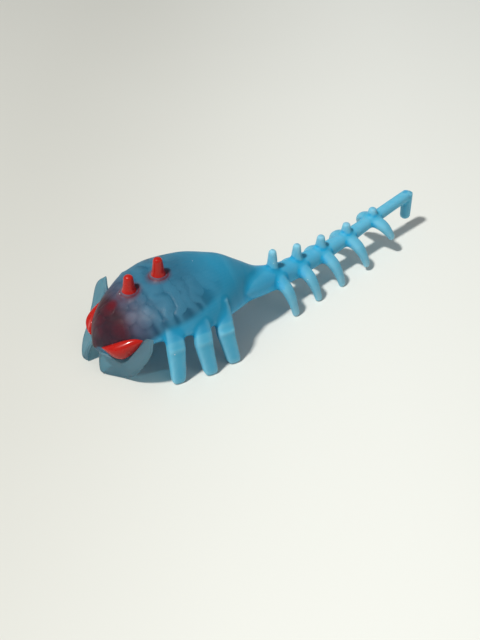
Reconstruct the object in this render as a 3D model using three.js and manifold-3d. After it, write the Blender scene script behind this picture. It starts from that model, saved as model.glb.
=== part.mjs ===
// Soft moulded creature bait: a translucent blue elastomer body with a domed head, six paddle legs,
// two cheek flaps and a ribbed tail, over a red insert that shows as the eyes, two horns and a core.
// Millimetres, +Z up. +X runs from the snout to the tail and Z = 0 is the table that it stands on.

import * as THREE from 'three';
import { mergeVertices } from 'three/addons/utils/BufferGeometryUtils.js';
import Module from 'manifold-3d';

// ---------------------------------------------------------------- driving dimensions

const GAP = 0.3; // clearance between touching pieces
// Clearance added to the half sizes of tapering pieces, which leaves about GAP along their steep slopes.
const CORE_CLEARANCE = 0.8;
const EYE_CLEARANCE = 0.62;
const WELD = 0.02; // corners closer than this after a cut become one
const LEFT = -1; // the sides are named as the creature would: its left is -Y
const RIGHT = 1;

// The origin lies on the table under the middle of the whole outline.
const ORIGIN = new THREE.Vector3(-14.1, 0, 0);

// Dome of the head and trunk: x, half width, height of the widest line, height of the ridge.
const DOME = [
  [-48.6, 1.7, 8.6, 11.2],
  [-46.6, 5.4, 9.3, 15.7],
  [-43, 9.5, 10.7, 19.2],
  [-38, 12.9, 13.1, 22.0],
  [-32, 16.0, 15.2, 24.0],
  [-24, 17.9, 15.6, 25.6],
  [-15, 16.4, 15.4, 26.0],
  [-6, 11.6, 13.8, 24.7],
  [1, 7.2, 12.4, 20.7],
  [7, 4.9, 11.4, 16.8],
];
const DOME_END = 3.4; // the trunk's flat rear end, where the tail joins
const SKIRT_Z = 12.4; // underside of the trunk's rim
const CHIN_DEPTH = 2.8; // underside of the head below its widest line
const DOME_SIDES = 28;

// Red core inside the dome and the skin around it.
const CORE_FROM = -45.8;
const CORE_TO = -9;
const SKIN = 1.9;
const CORE_NOSE_R = 0.9; // half size of the core's blunt ends
const EYE_ROOM = 2.8; // extra skin beside the eyes
const EYE_ROOM_FROM = -34;
const EYE_ROOM_TO = -40;
const CORE_FLOOR = 0.8; // the core's flat underside lies this far below the widest line
const BELLY_FROM = -35;
const BELLY_TO = -11.5;
const BELLY_INSET = 4.4;
const BELLY_GAP = 0.36; // clearance around the belly panel's slanted sides

// Horns, on the ridge line.
const HORNS = [{ name: 'horn_front', x: -36, height: 5.8 }, { name: 'horn_rear', x: -26.5, height: 6.2 }];
const HORN_FOOT_R = 2.05;
const HORN_TIP_R = 1.25;
const COLLAR_R = 2.95;
const COLLAR_HEIGHT = 0.7;
const HORN_HOLE_LENGTH = 12;

// Almond eyes, from the front tip to the rear tip: x, height of the upper edge, and how far the lower
// edge lies forward of, outside of and below the upper one. The upper edge lies on the dome.
const EYE = [
  [-47.5, 9.5, 0, 0, 0],
  [-45, 12.2, 0.8, 1.4, 4.0],
  [-42.5, 13.9, 1.2, 1.4, 5.6],
  [-40, 14.7, 1.0, 0.6, 4.4],
  [-37.7, 14.2, 0, 0, 0],
];
const EYE_OUT = [-0.66, 0.48, 0.58];
const EYE_DROP = { [LEFT]: 0, [RIGHT]: 0.8 }; // the right eye sits lower
const EYE_SWELL = { outer: 2.2, inner: 1.1 }; // how far the two faces stand off the plane of the edges

// Legs: x and half spread at the hip, x and half spread at the sole.
const LEGS = [
  { name: 'front', hip: [-30.0, 17.0], sole: [-30.3, 18.6] },
  { name: 'middle', hip: [-21.6, 18.0], sole: [-20.2, 19.8] },
  { name: 'rear', hip: [-13.6, 16.6], sole: [-11.7, 18.4] },
];
const HIP_Z = 10.2;
const LEG_HALF = { root: [2.65, 1.85], tip: [1.85, 1.35] }; // half width fore and aft, half thickness
const SHOULDER = [3.0, 2.6, 4.4];
const SHOULDER_INSET = 1.6;

// Cheek flaps, from the snout to the free rear tip: a point of the edge beside the eye, then the
// points of the free edge of the left flap and of the right flap, whose front corner is splayed.
const FLAP = [
  [[-48.9, 2.9, 5.0], [-48.4, 3.7, 0.6], [-49.6, 3.2, 0.2]],
  [[-47.2, 4.8, 4.8], [-47.0, 4.9, 0.0], [-49.9, 6.2, 0.0]],
  [[-44.0, 8.2, 5.2], [-43.4, 8.8, 0.0], [-48.2, 9.4, 2.8]],
  [[-41.2, 10.9, 7.2], [-41.8, 13.4, 3.2], [-45.2, 12.4, 6.2]],
  [[-39.4, 13.6, 10.4], [-40.2, 16.8, 8.6], [-41.8, 15.8, 10.6]],
  [[-38.2, 15.2, 13.2], [-38.4, 18.4, 13.4], [-38.6, 18.6, 15.4]],
  [[-37.0, 16.4, 16.2], [-37.0, 17.4, 17.3], [-35.8, 17.2, 18.0]],
];
const FLAP_HALF_THICKNESS = 0.7;
const FLAP_HINGE = [[-48.9, 2.9, 5.2], [-38.2, 14.6, 12.8]]; // the line that a flap bends about

// Tail: it leaves the trunk at TAIL_AT and swings to the right by TAIL_YAW.
const TAIL_AT = new THREE.Vector3(11.8, -0.8, 0);
const TAIL_YAW = THREE.MathUtils.degToRad(15);
// Distance along the tail, half width, half height and height of the middle of the bar.
const BAR = [
  [-10, 4.9, 3.8, 13.8],
  [0, 3.8, 3.9, 11.8],
  [11.1, 3.1, 3.5, 10.4],
  [22.5, 2.7, 2.9, 10.1],
  [35, 2.3, 2.4, 10.5],
  [48.3, 2.0, 2.0, 11.8],
  [58, 1.9, 1.9, 12.8],
  [68, 1.9, 1.9, 13.6],
];
// One entry per vertebra: distance along the tail, spike height above the bar, rib spread, rib tip height.
const VERTEBRAE = [
  { at: 0, spike: 6.4, spread: 8.2, tip: 0 },
  { at: 11.1, spike: 5.2, spread: 7.8, tip: 0 },
  { at: 22.5, spike: 4.2, spread: 7.8, tip: 0 },
  { at: 35, spike: 3.4, spread: 7.6, tip: 1.6 },
  { at: 48.3, spike: 2.6, spread: 7.0, tip: 6.0 },
];
// Flex points of the tail: distance along it and the axis it bends about.
const FLEXES = [
  { at: -3.6, bends: 'sideways' },
  { at: 6.2, bends: 'up' },
  { at: 17.3, bends: 'sideways' },
  { at: 29.2, bends: 'up' },
  { at: 42.2, bends: 'sideways' },
  { at: 54.6, bends: 'up' },
];
const HOOK_AT = 67;
const HOOK_DROP = 10.4;
const HOOK_R = 1.8;
const RIB_HALF = [2.7, 1.9, 1.15]; // half width at the root, the middle and the tip
const RIB_SWEEP = 2.8; // how far the tip trails behind the root
const SPIKE_FOOT_R = 1.7;
const SPIKE_TIP_R = 1.0;

// ---------------------------------------------------------------- materials

const material = (color, roughness) => new THREE.MeshStandardMaterial({ color, roughness, metalness: 0 });
const BLUE = () => material(0x4a9fc0, 0.45);
const PALE_BLUE = () => material(0x79b6c9, 0.45);
const RED = () => material(0xb42a20, 0.3);
const DARK_RED = () => material(0x7c2a30, 0.5);

// ---------------------------------------------------------------- helpers

const wasm = await Module();
wasm.setup();

/** Value of column `column` of a table at `at`, on a smooth curve that doesn't overshoot its rows. */
function along(table, column, at) {
  const last = table.length - 1;
  const x = THREE.MathUtils.clamp(at, table[0][0], table[last][0]);
  let i = 0;
  while (i < last - 1 && x > table[i + 1][0]) i += 1;
  const slope = (k) => (table[k + 1][column] - table[k][column]) / (table[k + 1][0] - table[k][0]);
  const tangent = (k) => {
    if (k === 0) return slope(0);
    if (k === last) return slope(last - 1);
    const [before, after] = [slope(k - 1), slope(k)];
    return before * after <= 0 ? 0 : (2 * before * after) / (before + after);
  };
  const step = table[i + 1][0] - table[i][0];
  const t = (x - table[i][0]) / step;
  const t2 = t * t;
  const t3 = t2 * t;
  return (2 * t3 - 3 * t2 + 1) * table[i][column] + (t3 - 2 * t2 + t) * step * tangent(i)
    + (3 * t2 - 2 * t3) * table[i + 1][column] + (t3 - t2) * step * tangent(i + 1);
}

/** Turns the faces of a closed indexed geometry outwards. */
function outward(geometry) {
  const index = geometry.index.array;
  const corner = (k) => new THREE.Vector3().fromBufferAttribute(geometry.attributes.position, index[k]);
  let volume = 0;
  for (let k = 0; k < index.length; k += 3) volume += corner(k).dot(corner(k + 1).cross(corner(k + 2)));
  if (volume < 0) {
    for (let k = 0; k < index.length; k += 3) [index[k], index[k + 1]] = [index[k + 1], index[k]];
  }
  return geometry;
}

/** Closed solid through rings of equally many points, with a flat fan over each end. */
function loft(rings) {
  const count = rings[0].length;
  const middle = (points) => points.reduce((sum, p) => sum.add(p), new THREE.Vector3()).divideScalar(count);
  const points = [...rings.flat(), middle(rings[0]), middle(rings[rings.length - 1])];
  const first = rings.length * count;
  const index = [];
  for (let j = 0; j < count; j += 1) {
    const next = (j + 1) % count;
    const end = (rings.length - 1) * count;
    for (let i = 0; i < end; i += count) {
      index.push(i + j, i + next, i + count + next, i + j, i + count + next, i + count + j);
    }
    index.push(first, next, j, first + 1, end + j, end + next);
  }
  const geometry = new THREE.BufferGeometry().setFromPoints(points);
  geometry.setIndex(index);
  return outward(geometry);
}

/** Numbers from `from` to `to` in `count` equal steps. */
function steps(from, to, count) {
  return Array.from({ length: count + 1 }, (_, k) => from + ((to - from) * k) / count);
}

/** The same stations with the first and the last moved out by `grow`. */
function stretched(stations, grow) {
  const last = stations.length - 1;
  return stations.map((x, k) => x - (k === 0 ? grow : 0) + (k === last ? grow : 0));
}

/** Angles of `count` points around a ring. */
const turn = (count) => Array.from({ length: count }, (_, k) => (2 * Math.PI * k) / count);

/** Share of the full width left at `distance` from the middle of a round end of radius `r`. */
const roundOff = (distance, r) => Math.sqrt(Math.max(0.03, 1 - (distance / r) ** 2));

/** Manifold solid of a three.js geometry. */
function solid(geometry) {
  const bare = geometry.clone();
  bare.deleteAttribute('normal');
  bare.deleteAttribute('uv');
  const merged = mergeVertices(bare, 1e-4);
  const vertProperties = new Float32Array(merged.attributes.position.array);
  const triVerts = new Uint32Array(merged.index.array);
  return new wasm.Manifold(new wasm.Mesh({ numProp: 3, vertProperties, triVerts }));
}

/** three.js geometry of a manifold solid, with the slivers that a cut leaves welded away. */
function shape(manifold) {
  const mesh = manifold.getMesh();
  const geometry = new THREE.BufferGeometry();
  geometry.setAttribute('position', new THREE.BufferAttribute(new Float32Array(mesh.vertProperties), 3));
  geometry.setIndex(new THREE.BufferAttribute(new Uint32Array(mesh.triVerts), 1));
  const welded = mergeVertices(geometry, WELD);
  const corners = Array.from(welded.index.array);
  const whole = [];
  for (let k = 0; k < corners.length; k += 3) {
    const [a, b, c] = corners.slice(k, k + 3);
    if (a !== b && b !== c && c !== a) whole.push(a, b, c);
  }
  welded.setIndex(whole);
  return welded;
}

/** Ellipsoid with the given half sizes along three directions. */
function ellipsoid(centre, half, basis, sides) {
  const geometry = new THREE.SphereGeometry(1, sides, sides / 2);
  const axes = basis.map((axis, k) => axis.clone().multiplyScalar(half[k]));
  const place = new THREE.Matrix4().makeBasis(...axes);
  return geometry.applyMatrix4(place.setPosition(centre));
}

// ---------------------------------------------------------------- head and trunk

const UPRIGHT = [new THREE.Vector3(1, 0, 0), new THREE.Vector3(0, 1, 0), new THREE.Vector3(0, 0, 1)];

const domeWidth = (x) => along(DOME, 1, x);
const domeRim = (x) => along(DOME, 2, x);
const domeTop = (x) => along(DOME, 3, x);

/** Outer ring of the dome at x: half an ellipse over a shallow flat-bottomed underside. */
function domeRing(x) {
  const floor = Math.min(SKIRT_Z, domeRim(x) - CHIN_DEPTH);
  return turn(DOME_SIDES).map((angle) => {
    const z = Math.sin(angle) >= 0
      ? domeRim(x) + (domeTop(x) - domeRim(x)) * Math.sin(angle)
      : Math.max(floor, domeRim(x) + 1.6 * CHIN_DEPTH * Math.sin(angle));
    return new THREE.Vector3(x, domeWidth(x) * Math.cos(angle), z);
  });
}

/** Thickness of the side skin at x, with room for the eyes in the head. */
const skinAt = (x) => SKIN + EYE_ROOM * THREE.MathUtils.smoothstep(-x, -EYE_ROOM_FROM, -EYE_ROOM_TO);

/** Ring of the core at x: half an ellipse over a flat underside, `grow` larger than the core all round. */
function coreRing(x, grow) {
  const nearEnd = Math.min(x - CORE_FROM, CORE_TO - x);
  const roundness = roundOff(Math.max(0, 6 - nearEnd), 6);
  const half = Math.max(CORE_NOSE_R, (domeWidth(x) - skinAt(x)) * roundness) + grow;
  const rise = Math.max(CORE_NOSE_R, (domeTop(x) - domeRim(x) - SKIN) * roundness) + grow;
  const floor = domeRim(x) - CORE_FLOOR - grow;
  return turn(20).map((angle) => {
    const z = Math.sin(angle) > -1e-6 ? domeRim(x) + rise * Math.sin(angle) : floor;
    return new THREE.Vector3(x, half * Math.cos(angle), z);
  });
}

/** The core, or with `grow` the space for it in the dome. */
function core(grow) {
  return loft(stretched(steps(CORE_FROM, CORE_TO, 18), grow).map((x) => coreRing(x, grow)));
}

/** Straight-sided panel between two heights, inside the belly well grown by `grow`. */
function bellyBlock(grow, low, high) {
  const ring = (x) => {
    const half = domeWidth(x) - BELLY_INSET + grow;
    return [[-half, low(x)], [half, low(x)], [half, high(x)], [-half, high(x)]].map(
      ([y, z]) => new THREE.Vector3(x, y, z),
    );
  };
  return loft(stretched(steps(BELLY_FROM, BELLY_TO, 8), grow).map(ring));
}

function belly() {
  return bellyBlock(0, () => SKIRT_Z, (x) => domeRim(x) - CORE_FLOOR - GAP);
}

/** Half width of the dome at x and a height above its widest line. */
function domeSide(x, z) {
  const level = Math.max(0, z - domeRim(x)) / (domeTop(x) - domeRim(x));
  return domeWidth(x) * Math.sqrt(Math.max(0, 1 - level * level));
}

/** Almond lens of the eye on one side, `grow` larger all round. */
function eye(side, grow) {
  const edges = EYE.map(([x, z, forward, outside, below]) => {
    const high = new THREE.Vector3(x, domeSide(x, z), z);
    return [high, high.clone().add(new THREE.Vector3(-forward, outside, -below))];
  });
  const [upper, lower] = [0, 1].map((k) => new THREE.CatmullRomCurve3(edges.map((pair) => pair[k])));
  const out = new THREE.Vector3(...EYE_OUT).normalize();
  const long = upper.getPoint(1).sub(upper.getPoint(0)).normalize();
  const count = 16;
  return loft(steps(0, count, count).map((k) => {
    const t = THREE.MathUtils.clamp(k / count, 0.02, 0.98);
    const [high, low] = [upper.getPoint(t), lower.getPoint(t)];
    const swell = Math.sin(Math.PI * t ** 0.65) ** 0.8;
    const end = k === 0 ? -grow : 0;
    const centre = high.clone().add(low).multiplyScalar(0.5)
      .addScaledVector(long, k === count ? grow : end);
    const across = high.clone().sub(low).multiplyScalar(0.5);
    across.setLength(across.length() + grow);
    return turn(16).map((angle) => {
      const face = Math.sin(angle) > 0 ? EYE_SWELL.outer : EYE_SWELL.inner;
      const p = centre.clone().addScaledVector(across, Math.cos(angle))
        .addScaledVector(out, (face * swell + grow) * Math.sin(angle));
      return new THREE.Vector3(p.x, side * p.y, p.z - EYE_DROP[side]);
    });
  }));
}

/** Rounded peg on +Z, from its foot at 0 to its tip, turned about its own axis. */
function peg(foot, tip, height, sides) {
  const round = steps(0, Math.PI / 2, 3).map((angle) => new THREE.Vector2(
    tip * Math.cos(angle),
    height - tip + tip * Math.sin(angle),
  ));
  round[round.length - 1].x = 0;
  return new THREE.LatheGeometry([new THREE.Vector2(0, 0), new THREE.Vector2(foot, 0), ...round], sides)
    .rotateX(Math.PI / 2);
}

function hornGeometry(horn) {
  const foot = domeTop(horn.x + HORN_FOOT_R) - SKIN + GAP;
  const height = domeTop(horn.x) + horn.height - foot;
  return peg(HORN_FOOT_R, HORN_TIP_R, height, 20).translate(horn.x, 0, foot);
}

function collar(horn) {
  return peg(COLLAR_R + 0.3, 0.6, COLLAR_HEIGHT + 2, 20)
    .translate(horn.x, 0, domeTop(horn.x) - 2);
}

/** Bore through the skin for a horn. */
function hornHole(horn) {
  return new THREE.CylinderGeometry(HORN_FOOT_R + GAP, HORN_FOOT_R + GAP, HORN_HOLE_LENGTH, 20)
    .rotateX(Math.PI / 2).translate(horn.x, 0, domeTop(horn.x));
}

function domeSkin() {
  const stations = [DOME[0][0], -47.8, ...steps(-46.6, -6, 16), -2, DOME_END];
  let skin = solid(loft(stations.map(domeRing)));
  for (const side of [LEFT, RIGHT]) {
    for (const leg of LEGS) {
      const centre = new THREE.Vector3(
        leg.hip[0],
        side * (leg.hip[1] - SHOULDER_INSET),
        SKIRT_Z + SHOULDER[2],
      );
      skin = skin.add(solid(ellipsoid(centre, SHOULDER, UPRIGHT, 14)));
    }
  }
  for (const horn of HORNS) {
    skin = skin.add(solid(collar(horn)));
  }
  skin = skin.subtract(solid(core(CORE_CLEARANCE)));
  skin = skin.subtract(solid(bellyBlock(BELLY_GAP, () => 0, (x) => domeRim(x))));
  for (const horn of HORNS) {
    skin = skin.subtract(solid(hornHole(horn)));
  }
  for (const side of [LEFT, RIGHT]) {
    skin = skin.subtract(solid(eye(side, EYE_CLEARANCE)));
  }
  return shape(skin);
}

// ---------------------------------------------------------------- legs and cheek flaps

/** Paddle leg that hangs from its hip: a round top end about the hip's axis and a flat sole. */
function legGeometry(leg, side) {
  const top = HIP_Z + LEG_HALF.root[1];
  const heights = [...steps(top, HIP_Z, 4), 8, 4.5, 1.4, 0.5, 0];
  return loft(heights.map((z) => {
    const t = Math.max(0, 1 - z / HIP_Z);
    const x = leg.hip[0] + (leg.sole[0] - leg.hip[0]) * t;
    const y = leg.hip[1] + (leg.sole[1] - leg.hip[1]) * t;
    const sole = z < 1 ? 0.8 + 0.2 * Math.sqrt(z) : 1;
    const wide = THREE.MathUtils.lerp(LEG_HALF.root[0], LEG_HALF.tip[0], t) * sole;
    const thick = THREE.MathUtils.lerp(LEG_HALF.root[1], LEG_HALF.tip[1], t) * sole
      * (z > HIP_Z ? roundOff(z - HIP_Z, LEG_HALF.root[1]) : 1);
    return turn(14).map((angle) => new THREE.Vector3(
      x + wide * Math.cos(angle),
      side * (y + thick * Math.sin(angle)),
      z,
    ));
  }));
}

/** Thin curved flap between the edge beside the eye and its free edge. */
function flapGeometry(side) {
  const edge = (k) => new THREE.CatmullRomCurve3(FLAP.map((row) => new THREE.Vector3(...row[k])));
  const [inner, outer] = [edge(0), edge(side === LEFT ? 1 : 2)];
  return loft(steps(0, 1, 12).map((t) => {
    const [high, low] = [inner.getPoint(t), outer.getPoint(t)];
    const down = low.clone().sub(high).normalize();
    const out = inner.getTangent(t).cross(down).normalize().multiplyScalar(FLAP_HALF_THICKNESS);
    const bevel = down.multiplyScalar(0.5 * Math.min(1, low.distanceTo(high) / 2));
    const section = [
      high.clone(),
      high.clone().add(bevel).add(out),
      low.clone().sub(bevel).add(out),
      low.clone(),
      low.clone().sub(bevel).sub(out),
      high.clone().add(bevel).sub(out),
    ];
    return section.map((p) => new THREE.Vector3(p.x, side * p.y, Math.max(0, p.z)));
  }));
}

// ---------------------------------------------------------------- tail

const TAIL_DIR = new THREE.Vector3(Math.cos(TAIL_YAW), Math.sin(TAIL_YAW), 0);
const TAIL_SIDE = new THREE.Vector3(-Math.sin(TAIL_YAW), Math.cos(TAIL_YAW), 0);

/** Point at a distance along the tail, a distance to its right and a height. */
function tailPoint(distance, right, z) {
  return TAIL_AT.clone().addScaledVector(TAIL_DIR, distance).addScaledVector(TAIL_SIDE, right).setZ(z);
}

const barHalfWidth = (at) => along(BAR, 1, at);
const barHalfHeight = (at) => along(BAR, 2, at);
const barMiddle = (at) => along(BAR, 3, at);
const barTop = (at) => barMiddle(at) + barHalfHeight(at);

/** Radius of a bar's round front end about the flex's axis. */
const flexRadius = (flex) => (flex.bends === 'sideways' ? barHalfWidth(flex.at) : barHalfHeight(flex.at));

/** Stretch of the bar that starts round about one flex's axis and ends flat before the next one. */
function barGeometry(flex, end) {
  const radius = flexRadius(flex);
  const round = steps(radius, 0, 5).map((distance) => flex.at - distance);
  const stations = [...round, ...steps(flex.at + 1.5, end, 4)];
  return loft(stations.map((at) => {
    const share = at < flex.at ? roundOff(flex.at - at, radius) : 1;
    const wide = barHalfWidth(at) * (flex.bends === 'sideways' ? share : 1);
    const tall = barHalfHeight(at) * (flex.bends === 'up' ? share : 1);
    return turn(16).map((angle) => tailPoint(
      at,
      wide * Math.cos(angle),
      barMiddle(at) + tall * Math.sin(angle),
    ));
  }));
}

/** Curved rib that leaves the side of the bar, arches outwards and hooks down to its rounded tip. */
function ribGeometry(vertebra, side) {
  const { at, spread, tip } = vertebra;
  const start = barHalfWidth(at - RIB_HALF[0]) + GAP;
  const top = barMiddle(at) - 0.05 * barHalfHeight(at);
  const curve = new THREE.CatmullRomCurve3([
    new THREE.Vector3(0, start, top),
    new THREE.Vector3(0.8, start + 0.5 * (spread - start), top - 0.18 * (top - tip)),
    new THREE.Vector3(1.8, start + 0.85 * (spread - start), top - 0.56 * (top - tip)),
    new THREE.Vector3(RIB_SWEEP, spread, tip),
  ]);
  const count = 9;
  return loft(steps(0, 1, count).map((t) => {
    const p = curve.getPoint(t);
    const tangent = curve.getTangent(t);
    const fore = new THREE.Vector3(1, 0, 0).addScaledVector(tangent, -tangent.x).normalize();
    const cross = tangent.clone().cross(fore);
    const [root, mid, end] = RIB_HALF;
    const size = t < 0.5 ? THREE.MathUtils.lerp(root, mid, 2 * t) : THREE.MathUtils.lerp(mid, end, 2 * t - 1);
    return turn(12).map((angle) => {
      const q = p.clone().addScaledVector(fore, size * Math.cos(angle))
        .addScaledVector(cross, 0.8 * size * Math.sin(angle));
      const right = t === 0 ? start : Math.max(start, q.y);
      const z = t === 1 ? tip : Math.max(tip, q.z);
      return tailPoint(at + q.x, side * right, z);
    });
  }));
}

/** Spike whose flat foot clears the sloping top of the bar all round. */
function spikeGeometry({ at, spike }) {
  const foot = Math.max(barTop(at - SPIKE_FOOT_R), barTop(at + SPIKE_FOOT_R)) + GAP;
  const height = barTop(at) + GAP + spike - foot;
  const { x, y } = tailPoint(at, 0, foot);
  return peg(SPIKE_FOOT_R, SPIKE_TIP_R, height, 12).translate(x, y, foot);
}

/** Last stretch of the bar, with the peg that hangs from its end. */
function hookGeometry(flex) {
  const at = tailPoint(HOOK_AT, 0, barMiddle(HOOK_AT) + 0.6 * barHalfHeight(HOOK_AT));
  const drop = peg(HOOK_R, 0.9 * HOOK_R, HOOK_DROP, 14).rotateX(Math.PI).translate(at.x, at.y, at.z);
  return shape(solid(barGeometry(flex, HOOK_AT + 1.4)).add(solid(drop)));
}

// ---------------------------------------------------------------- assembly

const creature = new THREE.Group();
creature.position.copy(ORIGIN);

function piece(name, geometry, finish) {
  const mesh = new THREE.Mesh(geometry, finish);
  mesh.name = name;
  creature.add(mesh);
}

piece('dome_skin', domeSkin(), BLUE());
piece('belly_panel', belly(), BLUE());
piece('red_core', core(0), DARK_RED());
for (const horn of HORNS) {
  piece(horn.name, hornGeometry(horn), RED());
}
for (const [word, side] of [['left', LEFT], ['right', RIGHT]]) {
  piece(`eye_${word}`, outward(mergeVertices(eye(side, 0))), RED());
  piece(`cheek_flap_${word}`, flapGeometry(side), PALE_BLUE());
  for (const leg of LEGS) {
    piece(`leg_${leg.name}_${word}`, legGeometry(leg, side), BLUE());
  }
}
VERTEBRAE.forEach((vertebra, k) => {
  const next = FLEXES[k + 1];
  const number = k + 1;
  piece(`tail_bar_${number}`, barGeometry(FLEXES[k], next.at - flexRadius(next) - GAP), BLUE());
  piece(`spike_${number}`, spikeGeometry(vertebra), PALE_BLUE());
  for (const [word, side] of [['left', LEFT], ['right', RIGHT]]) {
    piece(`rib_${number}_${word}`, ribGeometry(vertebra, side), PALE_BLUE());
  }
});
piece('tail_hook', hookGeometry(FLEXES[FLEXES.length - 1]), PALE_BLUE());

export default creature;
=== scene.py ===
"""Soft creature bait: translucent blue moulding over a red insert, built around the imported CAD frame."""
import math

import bmesh
import bpy
import numpy as np
from mathutils import Matrix, Vector, noise
from mathutils.bvhtree import BVHTree


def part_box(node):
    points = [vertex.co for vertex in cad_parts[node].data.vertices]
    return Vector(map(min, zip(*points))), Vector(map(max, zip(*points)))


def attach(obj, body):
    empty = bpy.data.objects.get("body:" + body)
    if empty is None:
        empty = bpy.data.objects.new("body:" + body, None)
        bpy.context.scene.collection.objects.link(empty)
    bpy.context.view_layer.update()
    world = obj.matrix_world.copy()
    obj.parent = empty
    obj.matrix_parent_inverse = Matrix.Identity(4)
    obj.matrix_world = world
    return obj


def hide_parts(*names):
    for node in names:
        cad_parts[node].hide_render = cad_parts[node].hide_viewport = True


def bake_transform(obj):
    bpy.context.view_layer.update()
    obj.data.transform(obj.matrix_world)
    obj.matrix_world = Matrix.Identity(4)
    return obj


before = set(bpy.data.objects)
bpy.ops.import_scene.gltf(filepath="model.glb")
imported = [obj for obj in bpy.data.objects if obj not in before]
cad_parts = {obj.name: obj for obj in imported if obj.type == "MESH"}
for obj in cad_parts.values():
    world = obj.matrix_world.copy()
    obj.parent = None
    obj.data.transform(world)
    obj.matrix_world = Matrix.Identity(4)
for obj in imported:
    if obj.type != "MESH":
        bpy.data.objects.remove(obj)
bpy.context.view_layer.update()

MM = 0.001

# ---------------------------------------------------------------- dimensions, in millimetres
# The moulding is drawn in its own axes: +X from the snout to the tail, Y = 0 on the ridge,
# Z = 0 on the table.

DOME = [  # x, half width, height of the widest line, height of the ridge
    (-48.6, 1.7, 8.6, 11.2), (-46.6, 5.4, 9.3, 15.7), (-43, 9.5, 10.7, 19.2), (-38, 12.9, 13.1, 22.0),
    (-32, 16.0, 15.2, 24.0), (-24, 17.9, 15.6, 25.6), (-15, 16.4, 15.4, 26.0), (-6, 11.6, 13.8, 24.7),
    (1, 7.2, 12.4, 20.7), (7, 4.9, 11.4, 16.8), (12, 3.9, 11.0, 15.4),
]
SNOUT_X = DOME[0][0]
SNOUT_R = 1.9  # length over which the snout rounds off
SKIRT_Z = 12.2
CHIN_DEPTH = 2.8

CORE_FROM, CORE_TO = -47.8, -9.0
# x, height where the core's side ends
CORE_LOW = [(-48, 9.0), (-40, 13.2), (-32, 18.0), (-22, 20.4), (-9, 22.6)]
CORE_END_R = 5  # length over which each end of the core rounds off
SKIN = 1.5  # thickness of the blue skin over the core

HORNS = [(-36.0, 5.8), (-26.5, 6.2)]  # x, height above the ridge
HORN_FOOT_R, HORN_TIP_R = 2.05, 1.25
COLLAR_R = 2.7
COLLAR = [(-2.0, 0.8), (-0.3, 0.5), (0.25, 0.1), (0.5, -0.3)]  # height above the ridge, added radius

LEGS = {  # x and half spread at the hip, then at the sole
    "front": ((-30.0, 17.0), (-30.3, 18.6)),
    "middle": ((-21.6, 18.0), (-20.2, 19.8)),
    "rear": ((-13.6, 16.6), (-11.7, 18.4)),
}
HIP_Z = 10.2
LEG_CUT_Z = 11.7  # above it the leg belongs to the trunk's piece
LEG_SPACE = 3.9  # half size of the space round a leg's axis that holds it, and no part of the next leg
LEG_SPACE_ABOVE = 1.4  # how far that space reaches above the cut
LEG_WIDE, LEG_THICK = 2.65, 1.9  # half sizes at the hip
LEG_WIDE_TAPER, LEG_THICK_TAPER = 0.55, 0.5  # how much thinner they are at the sole
SOLE_Z = 2  # below it the sole's edge rounds off
SOLE_RINGS = [1.7, 1.2, 0.8, 0.45, 0.2, 0.05, 0.0]
BUTTRESS_Z = 11.2  # above it a leg is a low buttress on the dome's flank
BUTTRESS_WIDE, BUTTRESS_THICK = 2.7, 1.95
ROOT_RISE, ROOT_TOP_Z = 2.3, 20.0  # how far a leg root stands out of the dome, and where it fades

TAIL_AT = (11.8, -0.8)
TAIL_YAW = math.radians(15)
BAR = [  # distance along the tail, half width, half height, height of the middle
    (-22, 3.0, 1.6, 15.6), (-16, 4.6, 2.9, 14.9), (-10, 4.9, 3.8, 13.8), (0, 3.8, 3.9, 11.8),
    (11.1, 3.1, 3.5, 10.4), (22.5, 2.7, 2.9, 10.1), (35, 2.3, 2.4, 10.5), (48.3, 2.0, 2.0, 11.8),
    (58, 1.9, 1.9, 12.8), (68, 1.9, 1.9, 13.6),
]
VERTEBRAE = [  # distance along the tail, spike height, rib spread, rib tip height
    (0, 6.4, 8.2, 0.0), (11.1, 5.2, 7.8, 0.0), (22.5, 4.2, 7.8, 0.0),
    (35, 3.4, 7.6, 1.6), (48.3, 2.6, 7.0, 6.0),
]
BAR_ROUND, BAR_END = 66.4, 68.4  # where the bar starts to round off, and where it ends
CUTS = [-8.0, 4.5, 15.6, 27.0, 39.6, 52.2]  # where one tail piece ends and the next begins
BENDS = [(-7.0, -1.8), (4.8, 8.4), (15.9, 19.2), (27.2, 31.4), (39.8, 44.6), (52.4, 57.0)]
TRUNK_SPACE_X = 9.0  # the trunk's piece is cut from what lies in front of it
TAIL_SPACE = 4  # how far in front of its cut a tail piece is looked for
MID_TAIL_Z = 10  # height at which the tail's cuts are placed
HOOK_AT, HOOK_DROP, HOOK_R = 67, 10.4, 1.8
RIB_SWEEP = 2.8
RIB_SIZE, RIB_TAPER = 2.2, 0.95  # half width at the root, and how much thinner the tip is
RIB_ROOT_FADE = 0.42  # share of the rib over which its stouter root fades
SPIKE_R, SPIKE_TAPER = 1.78, 0.62

# Each row is a point of the edge under the eye, then of the free edge of the left and of the right flap.
FLAP = [
    ((-47.6, 2.6, 7.6), (-48.4, 3.7, 0.6), (-49.6, 3.2, 0.2)),
    ((-46.3, 4.8, 7.3), (-47.0, 4.9, 0.0), (-49.9, 6.2, 0.0)),
    ((-44.6, 7.2, 7.1), (-43.4, 8.8, 0.0), (-48.2, 9.4, 2.8)),
    ((-42.9, 8.8, 7.3), (-41.8, 13.4, 3.2), (-45.2, 12.4, 6.2)),
    ((-41.0, 9.8, 8.5), (-40.2, 16.8, 8.6), (-41.8, 15.8, 10.6)),
    ((-38.9, 11.0, 11.0), (-38.4, 18.4, 13.4), (-38.6, 18.6, 15.4)),
    ((-37.2, 12.4, 14.2), (-37.0, 17.4, 17.3), (-35.8, 17.2, 18.0)),
]
FLAP_THICK, FLAP_THINNING = 0.85, 0.3  # half thickness at the hinge, and how much thinner the free edge is
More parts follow.
